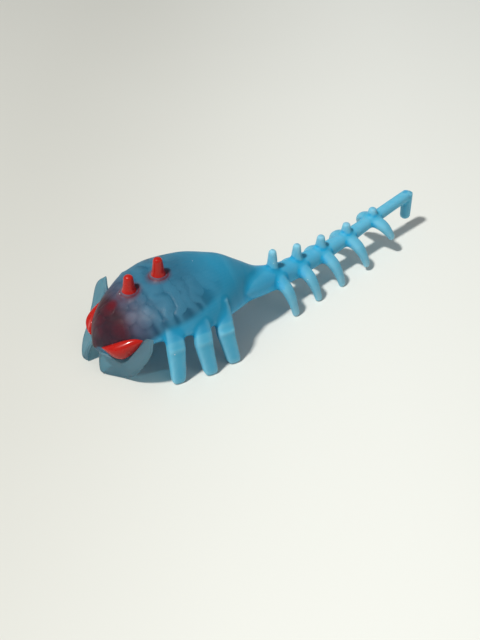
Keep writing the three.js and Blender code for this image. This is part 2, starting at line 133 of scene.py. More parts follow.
FLAP_TEETH, TOOTH = 18, 0.45

# The eye from front to rear: x, height of its upper edge, which lies on the dome, and how far the
# lower edge is forward of, outside of and below it.
EYE = [
    (-47.5, 9.5, 0.0, 0.0, 0.0), (-45, 12.2, 0.8, 1.4, 4.0), (-42.5, 13.9, 1.2, 1.4, 5.6),
    (-40, 14.7, 1.0, 0.6, 4.4), (-37.7, 14.2, 0.0, 0.0, 0.0),
]
EYE_OUT = (-0.66, 0.48, 0.58)
EYE_BULGE, EYE_BACK = 2.2, 1.4  # how far the lens swells out, and into the dome
EYE_DROP = {"left": 0.0, "right": 0.8}  # the right eye sits lower

VOXEL = 0.34
FILLET_ROUNDS, FILLET_STEPS = 5, 6
DEPTH_SEEN = 9  # the core is looked for no further than this below the skin
CUT_TOLERANCE = 1e-7  # metres

CAP_INSET = 0.06  # the flat cap of a cut end has a first ring this far inside its rim

SIDES = {"left": -1, "right": 1}

# The drawing's axes sit in the CAD frame where the dome's snout and middle line are.
dome_low, dome_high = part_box("dome_skin")
ORIGIN = Vector((dome_low[0] / MM - SNOUT_X, (dome_low[1] + dome_high[1]) / (2 * MM), 0.0))


def place(point):
    """Metres in the CAD frame of a point of the drawing."""
    return (Vector(point) + ORIGIN) * MM


# ---------------------------------------------------------------- curves and meshes

def along(table, column, at):
    """Column of a table at a place, on a smooth curve that doesn't overshoot its rows."""
    last = len(table) - 1
    x = min(max(at, table[0][0]), table[last][0])
    i = 0
    while i < last - 1 and x > table[i + 1][0]:
        i += 1

    def slope(k):
        return (table[k + 1][column] - table[k][column]) / (table[k + 1][0] - table[k][0])

    def tangent(k):
        if k == 0:
            return slope(0)
        if k == last:
            return slope(last - 1)
        before, after = slope(k - 1), slope(k)
        return 0.0 if before * after <= 0 else 2 * before * after / (before + after)

    step = table[i + 1][0] - table[i][0]
    t = (x - table[i][0]) / step
    return (
        (2 * t**3 - 3 * t * t + 1) * table[i][column] + (t**3 - 2 * t * t + t) * step * tangent(i)
        + (3 * t * t - 2 * t**3) * table[i + 1][column] + (t**3 - t * t) * step * tangent(i + 1)
    )


def smooth_step(t):
    t = min(max(t, 0.0), 1.0)
    return t * t * (3 - 2 * t)


def rounded_end(at, start, power, least, stop=1.0):
    """Share of the full radius where a solid rounds off between start and stop."""
    if at <= start:
        return 1.0
    return math.sqrt(max(least, 1 - ((at - start) / (stop - start)) ** power))


def spline(points, t):
    """Point at t from 0 to 1 on a Catmull-Rom curve through the points."""
    last = len(points) - 1
    s = min(max(t, 0.0), 1.0) * last
    i = min(int(s), last - 1)
    u = s - i
    p1, p2 = Vector(points[i]), Vector(points[i + 1])
    p0 = Vector(points[i - 1]) if i > 0 else p1 * 2 - p2
    p3 = Vector(points[i + 2]) if i + 2 <= last else p2 * 2 - p1
    return 0.5 * ((2 * p1) + (p2 - p0) * u + (2 * p0 - 5 * p1 + 4 * p2 - p3) * u * u
                  + (3 * p1 - p0 - 3 * p2 + p3) * u**3)


def spread(start, stop, count):
    return [start + (stop - start) * k / count for k in range(count + 1)]


def ring_angles(count):
    return [2 * math.pi * k / count for k in range(count)]


def squircle(angle, power):
    """Point of a unit superellipse: power 2 is a circle, higher is squarer."""
    c, s = math.cos(angle), math.sin(angle)
    return math.copysign(abs(c) ** (2 / power), c), math.copysign(abs(s) ** (2 / power), s)


def loft(rings):
    """Vertices and faces of a closed solid through rings of equally many points."""
    count = len(rings[0])
    points = [p for ring in rings for p in ring]
    faces = []
    for i in range(len(rings) - 1):
        for j in range(count):
            k = (j + 1) % count
            faces.append((i * count + j, i * count + k, (i + 1) * count + k, (i + 1) * count + j))
    faces.append(tuple(reversed(range(count))))
    faces.append(tuple(range((len(rings) - 1) * count, len(rings) * count)))
    return points, faces


def object_of(name, points, faces):
    """Mesh object of a closed solid, with its faces turned outwards."""
    mesh = bpy.data.meshes.new(name)
    mesh.from_pydata([place(p) for p in points], [], faces)
    obj = bpy.data.objects.new(name, mesh)
    bpy.context.scene.collection.objects.link(obj)
    bm = bmesh.new()
    bm.from_mesh(mesh)
    bmesh.ops.recalc_face_normals(bm, faces=bm.faces)
    bm.to_mesh(mesh)
    bm.free()
    for polygon in mesh.polygons:
        polygon.use_smooth = True
    return obj


def apply_modifier(obj, kind, **settings):
    modifier = obj.modifiers.new(kind.lower(), kind)
    for key, value in settings.items():
        setattr(modifier, key, value)
    depsgraph = bpy.context.evaluated_depsgraph_get()
    mesh = bpy.data.meshes.new_from_object(obj.evaluated_get(depsgraph))
    obj.modifiers.clear()
    old = obj.data
    obj.data = mesh
    bpy.data.meshes.remove(old)
    return obj


def joined(name, solids):
    """One object of several overlapping solids."""
    points, faces = [], []
    for solid_points, solid_faces in solids:
        base = len(points)
        points.extend(solid_points)
        faces.extend(tuple(base + k for k in face) for face in solid_faces)
    return object_of(name, points, faces)


def coordinates(mesh):
    co = np.empty(len(mesh.vertices) * 3)
    mesh.vertices.foreach_get("co", co)
    return co.reshape(-1, 3)


def store(mesh, name, values):
    attribute = mesh.attributes.get(name) or mesh.attributes.new(name, "FLOAT", "POINT")
    attribute.data.foreach_set("value", np.asarray(values, dtype=np.float32))


# ---------------------------------------------------------------- trunk

def dome_width(x):
    return along(DOME, 1, x)


def dome_rim(x):
    return along(DOME, 2, x)


def dome_top(x):
    return along(DOME, 3, x)


def trunk_ring(x):
    floor = min(SKIRT_Z, dome_rim(x) - CHIN_DEPTH)
    ring = []
    for angle in ring_angles(72):
        side, rise = squircle(angle, 2.0)
        if rise >= 0:
            z = dome_rim(x) + (dome_top(x) - dome_rim(x)) * rise
        else:
            z = max(floor, dome_rim(x) + 1.6 * CHIN_DEPTH * rise)
        ring.append((x, dome_width(x) * side, z))
    return ring


def trunk_solid():
    """Trunk with a rounded snout."""
    rings = []
    for x in [SNOUT_X, SNOUT_X + 0.12, SNOUT_X + 0.4, SNOUT_X + 0.8] + spread(-47.2, 12, 60):
        ahead = max(0.0, SNOUT_X + SNOUT_R - x) / SNOUT_R
        share = math.sqrt(max(0.1, 1 - ahead * ahead))
        middle = dome_rim(x)
        rings.append([(px, py * share, middle + (pz - middle) * share) for px, py, pz in trunk_ring(x)])
    return loft(rings)


def dome_side(x, z):
    """Half width of the dome at a height."""
    level = max(0.0, z - dome_rim(x)) / (dome_top(x) - dome_rim(x))
    return dome_width(x) * math.sqrt(max(0.0, 1 - level * level))


def leg_solid(leg, side):
    """Flat paddle whose root runs up the dome's flank as a low buttress."""
    hip, sole = LEGS[leg]
    rings = []
    for z in spread(ROOT_TOP_Z, 11.5, 17) + spread(11.0, 2.2, 14) + SOLE_RINGS:
        t = 1 - z / HIP_Z
        lean = max(0.0, z - BUTTRESS_Z)
        x = hip[0] + (sole[0] - hip[0]) * max(0.0, t)
        rounding = 1 if z > SOLE_Z else 0.5 + 0.5 * math.sqrt(max(0.0, 1 - (1 - z / SOLE_Z) ** 2.4))
        wide = (LEG_WIDE - LEG_WIDE_TAPER * t) * rounding
        thick = (LEG_THICK - LEG_THICK_TAPER * t) * rounding
        y = hip[1] + (sole[1] - hip[1]) * max(0.0, t)
        if lean:
            wide, thick = BUTTRESS_WIDE, BUTTRESS_THICK
            stand = ROOT_RISE * (1 - smooth_step(lean / (ROOT_TOP_Z - BUTTRESS_Z))) - 0.3
            y += (dome_side(x, z) + stand - thick - y) * smooth_step(lean / 1.6)
        ring = []
        for angle in ring_angles(36):
            u, v = squircle(angle, 3.4)
            ring.append((x + wide * u, side * (y + thick * v), z))
        rings.append(ring)
    return loft(rings)


def collar_solid(x):
    """Low blue ring round a horn's foot."""
    rings = []
    top = dome_top(x)
    for z, wider in COLLAR:
        r = COLLAR_R + wider
        rings.append([(x + r * math.cos(a), r * math.sin(a), top + z) for a in ring_angles(32)])
    return loft(rings)


# ---------------------------------------------------------------- tail

TAIL_DIR = Vector((math.cos(TAIL_YAW), math.sin(TAIL_YAW), 0))
TAIL_SIDE = Vector((-math.sin(TAIL_YAW), math.cos(TAIL_YAW), 0))


def tail_point(distance, right, z):
    return Vector((*TAIL_AT, z)) + TAIL_DIR * distance + TAIL_SIDE * right


def bar_solid():
    """The tail's whole middle bar, from inside the dome to its rounded end."""
    rings = []
    for at in spread(-21, 66, 100) + [66.8, 67.5, 68.0, BAR_END]:
        rounding = rounded_end(at, BAR_ROUND, 2, 0.1, BAR_END)
        wide, tall, middle = along(BAR, 1, at), along(BAR, 2, at), along(BAR, 3, at)
        ring = []
        for angle in ring_angles(40):
            u, v = squircle(angle, 2.3)
            ring.append(tail_point(at, wide * rounding * u, middle + tall * rounding * v))
        rings.append(ring)
    return loft(rings)


def rib_solid(vertebra, side):
    """Rib that leaves the bar sideways and curves down and back to its rounded tip."""
    at, _, reach, tip = vertebra
    wide, tall, middle = along(BAR, 1, at), along(BAR, 2, at), along(BAR, 3, at)
    top = middle - 0.05 * tall
    fall, out = top - tip, reach - wide
    path = [
        (-0.4, 0.2 * wide, middle), (0.1, 0.9 * wide, top), (0.8, wide + 0.5 * out, top - 0.18 * fall),
        (1.8, wide + 0.85 * out, top - 0.56 * fall), (RIB_SWEEP, reach, tip + 0.5),
    ]
    rings = []
    for t in spread(0, 1, 28) + [1.012, 1.02]:
        p = spline(path, t)
        tangent = (spline(path, min(t, 1)) - spline(path, min(t, 1) - 0.02)).normalized()
        if t > 1:
            p = spline(path, 1) + tangent * (0.3 if t < 1.015 else 0.5)
        fore = (Vector((1, 0, 0)) - tangent * tangent.x).normalized()
        cross = tangent.cross(fore)
        root = 1 - smooth_step(t / RIB_ROOT_FADE)
        size = RIB_SIZE - RIB_TAPER * smooth_step((t - 0.3) / 0.7)
        length = size + 0.28 * tall * root
        depth = 0.8 * size + (0.84 * tall - 0.8 * size) * root
        rounding = 1 if t < 0.97 else (0.92 if t <= 1 else (0.76 if t < 1.015 else 0.45))
        ring = []
        for angle in ring_angles(24):
            u, v = squircle(angle, 2.3)
            q = p + fore * (length * rounding * u) + cross * (depth * rounding * v)
            ring.append(tail_point(at + q.x, side * q.y, max(q.z, 0.0)))
        rings.append(ring)
    return loft(rings)


def spike_solid(vertebra):
    """Round spike on the ridge of a vertebra, flared at its foot."""
    at, height = vertebra[:2]
    foot = along(BAR, 3, at) + along(BAR, 2, at)
    rings = []
    for t in spread(0, 1, 14):
        z = foot - 1.0 + (height + 1.0) * t
        level = (z - foot) / height
        r = SPIKE_R - SPIKE_TAPER * max(0.0, level) + 1.1 * max(0.0, 0.25 - level) ** 1.3
        r *= rounded_end(level, 0.82, 2.4, 0.2)
        rings.append([tail_point(at + r * math.cos(a), r * math.sin(a), z) for a in ring_angles(20)])
    return loft(rings)


def hook_solid():
    """Peg that hangs from the end of the tail."""
    top = along(BAR, 3, HOOK_AT) + 0.9
    rings = []
    for t in spread(0, 1, 20):
        z = top - (HOOK_DROP - 0.3) * t
        r = HOOK_R * (1.08 - 0.12 * t)
        r *= rounded_end(t, 0.88, 2.2, 0.12)
        rings.append([tail_point(HOOK_AT + r * math.cos(a), r * math.sin(a), z) for a in ring_angles(24)])
    return loft(rings)


# ---------------------------------------------------------------- blue moulding

def blue_moulding():
    """The whole blue body as one smooth skin: its solids joined, remeshed and rounded where they meet."""
    solids = [trunk_solid(), bar_solid(), hook_solid()]
    solids += [collar_solid(x) for x, _ in HORNS]
    for side in SIDES.values():
        solids += [leg_solid(leg, side) for leg in LEGS]
        solids += [rib_solid(vertebra, side) for vertebra in VERTEBRAE]
    solids += [spike_solid(vertebra) for vertebra in VERTEBRAE]
    body = joined("moulding", solids)
    apply_modifier(body, "REMESH", mode="VOXEL", voxel_size=VOXEL * MM, adaptivity=0)
    soften(body.data)
    return body


def soften(mesh):
    """Evens out the surface, rounds the inner corners and stores how sharp each ridge is."""
    p = coordinates(mesh)
    pairs = np.empty(len(mesh.edges) * 2, dtype=np.int64)
    mesh.edges.foreach_get("vertices", pairs)
    a, b = pairs.reshape(-1, 2).T
    count = len(p)
    degree = np.bincount(a, minlength=count) + np.bincount(b, minlength=count)

    def offset(values):
        total = np.stack([
            np.bincount(a, values[b, k], count) + np.bincount(b, values[a, k], count)
            for k in range(values.shape[1])
        ], axis=1)
        return total / degree[:, None] - values

    for _ in range(5):
        p += 0.55 * offset(p)
        p -= 0.58 * offset(p)
    mesh.vertices.foreach_set("co", p.ravel())
    for _ in range(FILLET_ROUNDS):
        mesh.update()
        normals = np.empty(count * 3)
        mesh.vertices.foreach_get("normal", normals)
        normals = normals.reshape(-1, 3)
        for _ in range(FILLET_STEPS):
            rise = np.einsum("ij,ij->i", offset(p), normals)
            p += normals * (0.8 * np.maximum(rise, 0.0))[:, None]
        mesh.vertices.foreach_set("co", p.ravel())
    mesh.update()
    ridge = -np.einsum("ij,ij->i", offset(p), normals)[:, None]
    for _ in range(4):
        ridge = ridge + 0.5 * offset(ridge)
    store(mesh, "edge", np.clip(ridge[:, 0] / (VOXEL * MM) / 0.10, 0.0, 1.0))


def body_tree(obj):
    """Search tree over an object's faces."""
    mesh = obj.data
    return BVHTree.FromPolygons([v.co for v in mesh.vertices], [p.vertices for p in mesh.polygons])


def cut_piece(source, name, planes, near=None):
    """Copy of the part of source inside the planes, closed where it was cut.

    near(point) says which points are looked at, so that a plane cuts nothing else.
    """
    bm = bmesh.new()
    bm.from_mesh(source.data)
    if near is not None:
        far = [v for v in bm.verts if not near(v.co)]
        bmesh.ops.delete(bm, geom=far, context="VERTS")
    for point, outward in planes:
        geom = bm.verts[:] + bm.edges[:] + bm.faces[:]
        cut = bmesh.ops.bisect_plane(
            bm, geom=geom, plane_co=point, plane_no=outward, clear_outer=True, dist=CUT_TOLERANCE,
        )
        rim = [e for e in cut["geom_cut"] if isinstance(e, bmesh.types.BMEdge)]
        close_ends(bm, rim)
    mesh = bpy.data.meshes.new(name)
    bm.to_mesh(mesh)
    bm.free()
    obj = bpy.data.objects.new(name, mesh)
    bpy.context.scene.collection.objects.link(obj)
    for polygon in mesh.polygons:
        polygon.use_smooth = True
    return obj


def loops_of(edges):
    """The separate closed loops among some edges."""
    left, loops = set(edges), []
    while left:
        loop, front = [], [left.pop()]
        while front:
            edge = front.pop()
            loop.append(edge)
            linked = {e for v in edge.verts for e in v.link_edges if e in left}
            left -= linked
            front.extend(linked)
        loops.append(loop)
    return loops


def close_ends(bm, rim):
    """Closes each cut end with a flat cap."""
    for edge in rim:
        edge.smooth = False
    for loop in loops_of(rim):
        made = bmesh.ops.extrude_edge_only(bm, edges=loop)["geom"]
        verts = {g for g in made if isinstance(g, bmesh.types.BMVert)}
        centre = sum((v.co for v in verts), Vector()) / len(verts)
        for v in verts:
            v.co += (centre - v.co).normalized() * CAP_INSET * MM
        edges = [g for g in made if isinstance(g, bmesh.types.BMEdge)]
        inner = [e for e in edges if e.verts[0] in verts and e.verts[1] in verts]
        bmesh.ops.edgeloop_fill(bm, edges=inner)
    bmesh.ops.recalc_face_normals(bm, faces=bm.faces)


def tail_plane(distance, towards_end):
    """Plane across the tail; its normal points at the side that is cut away."""
    return place(tail_point(distance, 0, MID_TAIL_Z)), TAIL_DIR if towards_end else -TAIL_DIR


# ---------------------------------------------------------------- red insert

def eye_object(side, word):
    """Almond lens: pointed in front, nearly straight above and full below."""
    out = Vector(EYE_OUT).normalized()
    shift = Vector((0, 0, -EYE_DROP[word]))
    upper = [Vector((x, dome_side(x, z), z)) for x, z, *_ in EYE]
    lower = [high + Vector((-row[2], row[3], -row[4])) for high, row in zip(upper, EYE)]
    rings = []
    for t in spread(0, 1, 60)[1:-1]:
        high, low = spline(upper, t), spline(lower, t)
        swell = math.sin(math.pi * t**0.65) ** 0.8
        ring = []
        for v in spread(0, 1, 14):
            ring.append(high.lerp(low, v) + out * (EYE_BULGE * swell * math.sin(math.pi * v) ** 0.75))
        for v in spread(1, 0, 14)[1:-1]:
            ring.append(high.lerp(low, v) - out * (EYE_BACK * swell * math.sin(math.pi * v) ** 0.75))
        rings.append([Vector((p.x, side * p.y, p.z)) + shift for p in ring])
    obj = object_of(f"eye_lens_{word}", *loft(rings))
    return apply_modifier(obj, "SUBSURF", levels=1)


def horn_object(index):
    """Round red horn that stands through its collar on the ridge."""
    x, height = HORNS[index]
    foot = dome_top(x) - SKIN - 0.6
    total = dome_top(x) + height - foot
    rings = []
    for t in spread(0, 1, 30):
        z = foot + total * t
        level = (z - dome_top(x)) / height
        r = HORN_FOOT_R + (HORN_TIP_R - HORN_FOOT_R) * max(0.0, level)
        r += 0.25 * max(0.0, 0.2 - abs(level - 0.05)) / 0.2
        r *= rounded_end(level, 0.82, 2.4, 0.01)
        rings.append([(x + r * math.cos(a), r * math.sin(a), z) for a in ring_angles(40)])
    return object_of("horn_peg_" + ("front", "rear")[index], *loft(rings))


def fold_height(p):
    """Brain-like folds of the core, 0 in the valleys and 1 on the ridges.

    They are bands down its sides, lobes in front and lines along its top.
    """
    q = Vector(p)
    warp = 2.3 * noise.noise(q * 0.17) + 1.0 * noise.noise(q * 0.4 + Vector((9, 4, 1)))
    bands = 0.5 + 0.5 * math.cos(2 * math.pi * (0.96 * q.x + 0.22 * q.z) / 3.4 + 2.0 * warp)
    lobes = min(1.0, 2.2 * abs(noise.noise(q * 0.3 + Vector((2, 7, 5)))))
    back = smooth_step((q.x + 38) / 7)
    side = bands * back + lobes * (1 - back)
    lines = 0.5 + 0.5 * math.cos(2 * math.pi * q.y / 1.7 + 1.6 * warp)
    top = smooth_step((6.5 - abs(q.y)) / 3) * smooth_step((q.x + 27) / 5)
    return side * (1 - top) + (0.12 + 0.45 * lines) * top


def core_object():
    """The folded core below the dome's skin, nearly flat below."""
    rings = []
    for x in spread(CORE_FROM, CORE_TO, 150):
        near_end = min(x - CORE_FROM, CORE_TO - x)
        roundness = math.sqrt(max(0.02, 1 - (max(0.0, CORE_END_R - near_end) / CORE_END_R) ** 2))
        rim = dome_rim(x)
        low = along(CORE_LOW, 1, x)
        half = max(0.8, dome_width(x) - SKIN) * roundness
        rise = max(0.8, dome_top(x) - rim - SKIN) * roundness
        top = rim + rise
        low = top - (top - low) * roundness
        ring = []
        for angle in ring_angles(140):
            s, c = math.sin(angle), math.cos(angle)
            z = low + (top - low) * max(0.0, s) + 1.2 * roundness * min(0.0, s)
            level = max(0.0, z - rim) / rise
            flank = half * math.sqrt(max(0.0, 1 - level * level))
            foot = half * math.sqrt(max(0.0, 1 - (max(0.0, low - rim) / rise) ** 2))
            y = math.copysign(flank, c) if s > 0 else foot * c
            p = Vector((x, y, z))
            normal = Vector((0, y / max(half, 0.1), level + 0.01)).normalized()
            if s > 0:
                p += normal * (0.8 * (fold_height(p) - 0.6) * min(1.0, 4 * s))
            ring.append(p)
        rings.append(ring)
    return object_of("core_folds", *loft(rings))


# ---------------------------------------------------------------- cheek flaps

def flap_object(word):
    """Thin curved leaf under the eye, with small teeth at its front corner."""
    side = SIDES[word]
    inner = [row[0] for row in FLAP]
    free = [row[1 if word == "left" else 2] for row in FLAP]
    length, width = 90, 18
    rings = []
    for i in range(length + 1):
        t = i / length
        high, low = spline(inner, t), spline(free, t)
        tangent = (spline(inner, min(1, t + 0.02)) - spline(inner, max(0, t - 0.02))).normalized()
        out = tangent.cross((low - high).normalized()).normalized()
        if out.x > 0:
            out = -out
        tooth = TOOTH * abs(math.sin(t * math.pi * FLAP_TEETH)) * (1 - smooth_step(t / 0.22))
        ends = min(1.0, 14 * min(t, 1 - t) + 0.2)
        row_front, row_back = [], []
        for v in spread(0, 1, width):
            thick = FLAP_THICK - FLAP_THINNING * v
            rounding = math.sqrt(max(0.05, min(1.0, 7 * (1 - v)) * ends))
            p = high.lerp(low, v) + out * (0.4 * math.sin(math.pi * v))
            p += (high - low).normalized() * (tooth * smooth_step((v - 0.8) / 0.2))
            row_front.append(p + out * (thick * rounding))
            row_back.append(p - out * (thick * rounding))
        ring = row_front + list(reversed(row_back))
        rings.append([Vector((p.x, side * p.y, max(0.0, p.z))) for p in ring])
    obj = object_of(f"cheek_leaf_{word}", *loft(rings))
    return apply_modifier(obj, "SUBSURF", levels=1)


# ---------------------------------------------------------------- see-through measures

def red_bleed(p):
    """How much red shows in the blue: round the horns' feet and at the spot between the eyes."""
    amount = 0.0
    for x, _ in HORNS:
        away = math.hypot(p.x - x, p.y)
        level = smooth_step((4 + p.z - dome_top(x)) / 3)
        ring = smooth_step(1.5 - abs(away - COLLAR_R - 0.1) / 0.35)
        halo = 0.75 * smooth_step((4.6 - away) / 2.2)
        amount = max(amount, max(ring, halo) * level)
    spot = (p - Vector((-41.7, 0, dome_top(-41.7)))).length
    return max(amount, smooth_step((2.6 - spot) / 2.0))


def measure(obj, skin_tree, core_tree):
    """Stores at each point the thickness below it, the core's distance and folds, and the red bleed."""
    mesh = obj.data
    co = coordinates(mesh)
    normals = np.empty(len(mesh.vertices) * 3)
    mesh.vertices.foreach_get("normal", normals)
    normals = normals.reshape(-1, 3)
    thick = np.full(len(co), 30.0)
    depth = np.full(len(co), 12.0)
    fold = np.zeros(len(co))
    bleed = np.zeros(len(co))
    for k, (p, n) in enumerate(zip(co, normals)):
        start, inwards = Vector(p), -Vector(n)
        hit = skin_tree.ray_cast(start + inwards * 0.0002, inwards, 0.03)
        if hit[3] is not None:
            thick[k] = hit[3] / MM + 0.2
        near = core_tree.find_nearest(start, DEPTH_SEEN * MM)
        if near[3] is not None:
            depth[k] = near[3] / MM
            fold[k] = fold_height(near[0] / MM - ORIGIN)
            bleed[k] = red_bleed(start / MM - ORIGIN)
    store(mesh, "thick", thick)
    store(mesh, "depth", depth)
    store(mesh, "fold", fold)
    store(mesh, "bleed", bleed)


# ---------------------------------------------------------------- materials

# Each colour wanders between two tones.
TONES = {
    "deep blue": ((0.010, 0.215, 0.370, 1), (0.017, 0.255, 0.425, 1)),
    # painted light: a brighter blue that makes the lower flanks look more lit than the top
    "painted light flank": ((0.012, 0.400, 0.720, 1), (0.018, 0.440, 0.780, 1)),
    "pale blue": ((0.068, 0.400, 0.600, 1), (0.095, 0.450, 0.650, 1)),
    "thin blue": ((0.340, 0.600, 0.670, 1), (0.390, 0.650, 0.720, 1)),
    # flap: a dull grey-blue, darker than the body's blue, painted shade for the shade the cheek flaps sit
    # in
    "flap": ((0.130, 0.240, 0.290, 1), (0.170, 0.290, 0.340, 1)),
    "maroon snout": ((0.030, 0.001, 0.002, 1), (0.070, 0.003, 0.005, 1)),
    "dusky purple": ((0.034, 0.034, 0.066, 1), (0.095, 0.098, 0.150, 1)),
    "slate folds": ((0.012, 0.078, 0.142, 1), (0.042, 0.168, 0.262, 1)),
    "red gloss": ((0.37, 0.007, 0.004, 1), (0.48, 0.013, 0.007, 1)),
    "core front": ((0.36, 0.018, 0.012, 1), (0.48, 0.030, 0.020, 1)),
    "core rear": ((0.13, 0.12, 0.18, 1), (0.22, 0.22, 0.30, 1)),
    # floor: the duller and paler ends of a painted light falloff
    "floor": ((0.62, 0.62, 0.575, 1), (0.82, 0.83, 0.785, 1)),
}
# pale blue of the painted rim highlight along sharp ridges
RIM_HIGHLIGHT_TONE = (0.40, 0.70, 0.80, 1)
BLEED_TONE = (0.130, 0.006, 0.012, 1)
BLUE_SPECK, RED_SPECK = (0.62, 0.72, 0.74, 1), (0.75, 0.42, 0.38, 1)

# Where one look fades into the next, as x of its two ends.
MAROON_TO_DUSK, DUSK_TO_SLATE = (-42.4, -38.4), (-39.5, -31.0)
SNOUT_TINT, REAR_FADE = (-47.8, -44.8), (-22, -10)
CORE_FRONT_TO_REAR = (-43.0, -32.0)
FLOOR_PAINTED_FALLOFF = (0.87, 0.6)  # direction across the floor in which its painted light falloff gets paler


class Nodes:
    """Small helper that builds one material's node tree."""

    def __init__(self, name):
        self.material = bpy.data.materials.new(name)
        self.material.use_nodes = True
        self.tree = self.material.node_tree
        self.tree.nodes.clear()
        self.output = self.tree.nodes.new("ShaderNodeOutputMaterial")

    def add(self, kind, inputs=None, **settings):
        node = self.tree.nodes.new(kind)
        for key, value in settings.items():
            setattr(node, key, value)
        for key, value in (inputs or {}).items():
            if isinstance(value, bpy.types.NodeSocket):
                self.tree.links.new(value, node.inputs[key])
            else:
                node.inputs[key].default_value = value
        return node

    def math(self, operation, a, b):
        return self.add("ShaderNodeMath", {0: a, 1: b}, operation=operation).outputs[0]

    def ramp(self, value, low, high, out_low=0.0, out_high=1.0):
        return self.add(
            "ShaderNodeMapRange", {0: value, 1: low, 2: high, 3: out_low, 4: out_high},
            interpolation_type="SMOOTHSTEP",
        ).outputs[0]

    def mix(self, factor, a, b):
        node = self.add("ShaderNodeMix", data_type="RGBA")
        for key, value in ((0, factor), (6, a), (7, b)):
            if isinstance(value, bpy.types.NodeSocket):
                self.tree.links.new(value, node.inputs[key])
            else:
                node.inputs[key].default_value = value
        return node.outputs[2]

    def attribute(self, name):
        return self.add("ShaderNodeAttribute", attribute_name=name).outputs["Fac"]

    def noise(self, scale, detail=2.0):
        inputs = {"Scale": scale, "Detail": detail, "Roughness": 0.5, "Vector": self.position()}
        return self.add("ShaderNodeTexNoise", inputs).outputs["Fac"]

    def position(self):
        return self.add("ShaderNodeTexCoord").outputs["Object"]

    def across(self, stations, out_low=0.0, out_high=1.0):
        """Ramp between two stations along the drawing's X."""
        x = self.add("ShaderNodeSeparateXYZ", {0: self.position()}).outputs[0]
        start, stop = (place((station, 0, 0)).x for station in stations)
        return self.ramp(x, start, stop, out_low, out_high)

    def height(self):
        return self.add("ShaderNodeSeparateXYZ", {0: self.position()}).outputs[2]

    def bump(self, height, strength, distance, below=None):
        inputs = {"Height": height, "Strength": strength, "Distance": distance}
        if below is not None:
            inputs["Normal"] = below
        return self.add("ShaderNodeBump", inputs).outputs["Normal"]


def specks(nodes):
    """Tiny pale lint and dust specks, 0 or 1."""
    inputs = {"Vector": nodes.position(), "Scale": 420.0, "Randomness": 1.0}
    cells = nodes.add("ShaderNodeTexVoronoi", inputs)
    close = nodes.math("LESS_THAN", cells.outputs["Distance"], 0.07)
    pick = nodes.add("ShaderNodeSeparateColor", {0: cells.outputs["Color"]}).outputs[0]
    rare = nodes.math("GREATER_THAN", pick, 0.72)
    return nodes.math("MULTIPLY", close, rare)


def core_tones(nodes, fold):
    """Colours of the core seen through the skin: maroon snout, dusky purple, then slate blue folds."""
    # fold valleys take the darker tone and ridges the lighter: partly the thicker skin over the valleys,
    # partly painted shade in them
    shade = nodes.math("MULTIPLY", nodes.ramp(nodes.noise(200.0, 3.0), 0.3, 0.7, 0.82, 1.0), fold)
    maroon = nodes.mix(shade, *TONES["maroon snout"])
    dusk = nodes.mix(shade, *TONES["dusky purple"])
    slate = nodes.mix(shade, *TONES["slate folds"])
    front = nodes.mix(nodes.across(MAROON_TO_DUSK), maroon, dusk)
    return nodes.mix(nodes.across(DUSK_TO_SLATE), front, slate)


def gel_material(name, thin_piece):
    """Milky blue elastomer, paler where it is thin, with the core showing where it lies close below."""
    nodes = Nodes(name)
    words = ("thick", "depth", "fold", "edge", "bleed")
    thick, depth, fold, edge, bleed = (nodes.attribute(word) for word in words)
    mottle = nodes.noise(110.0, 3.0)
    if thin_piece:
        # painted shade: the flaps get a dull grey-blue, darker than the body's, for the shade they sit in
        colour = nodes.mix(mottle, *TONES["flap"])
    else:
        deep = nodes.mix(mottle, *TONES["deep blue"])
        # painted light: lower down the blue turns brighter, so the lower flanks look more lit than the top
        bright = nodes.mix(mottle, *TONES["painted light flank"])
        low = nodes.ramp(nodes.height(), 0.011, 0.0195, 0.85, 0.0)
        deep = nodes.mix(low, deep, bright)
        pale = nodes.mix(mottle, *TONES["pale blue"])
        thin = nodes.mix(mottle, *TONES["thin blue"])
        colour = nodes.mix(nodes.ramp(thick, 3.6, 10.0), pale, deep)
        colour = nodes.mix(nodes.ramp(thick, 0.8, 3.2, 1.0, 0.0), colour, thin)
    # painted highlight: a pale rim along the sharp ridges
    colour = nodes.mix(nodes.math("MULTIPLY", edge, 0.55), colour, RIM_HIGHLIGHT_TONE)
    close_below = nodes.ramp(depth, 1.5, 3.2, 0.96, 0.0)
    cover = nodes.math("MULTIPLY", close_below, nodes.across(REAR_FADE, 1.0, 0.25))
    snout = nodes.across(SNOUT_TINT, 0.0 if thin_piece else 0.7, 0.0)
    cover = nodes.math("MAXIMUM", cover, snout)
    colour = nodes.mix(cover, colour, core_tones(nodes, fold))
    colour = nodes.mix(nodes.math("MULTIPLY", bleed, 0.8), colour, BLEED_TONE)
    colour = nodes.mix(specks(nodes), colour, BLUE_SPECK)
    clearest = 0.46 if thin_piece else 0.06
    through = nodes.ramp(thick, 1.2, 5.0, clearest, 0.02)
    folds = nodes.bump(nodes.math("MULTIPLY", fold, cover), 0.5, 0.0004)
    normal = nodes.bump(nodes.noise(420.0, 2.0), 0.25, 0.00012, folds)
    normal = nodes.bump(nodes.noise(2600.0, 2.0), 0.12, 0.00005, normal)
    skin = nodes.add("ShaderNodeBsdfPrincipled", {
        "Base Color": colour, "Roughness": nodes.ramp(nodes.noise(160.0, 3.0), 0.3, 0.7, 0.36, 0.52),
        "Normal": normal, "IOR": 1.34, "Specular IOR Level": 0.3,
        "Subsurface Weight": 0.4, "Subsurface Scale": 0.0004, "Subsurface Radius": (0.35, 0.9, 1.0),
    })
    clear = nodes.add("ShaderNodeBsdfTransparent", {"Color": (0.36, 0.70, 0.82, 1)})
    shown = nodes.add("ShaderNodeMixShader", {0: through, 1: skin.outputs[0], 2: clear.outputs[0]})
    nodes.tree.links.new(shown.outputs[0], nodes.output.inputs[0])
    return nodes.material


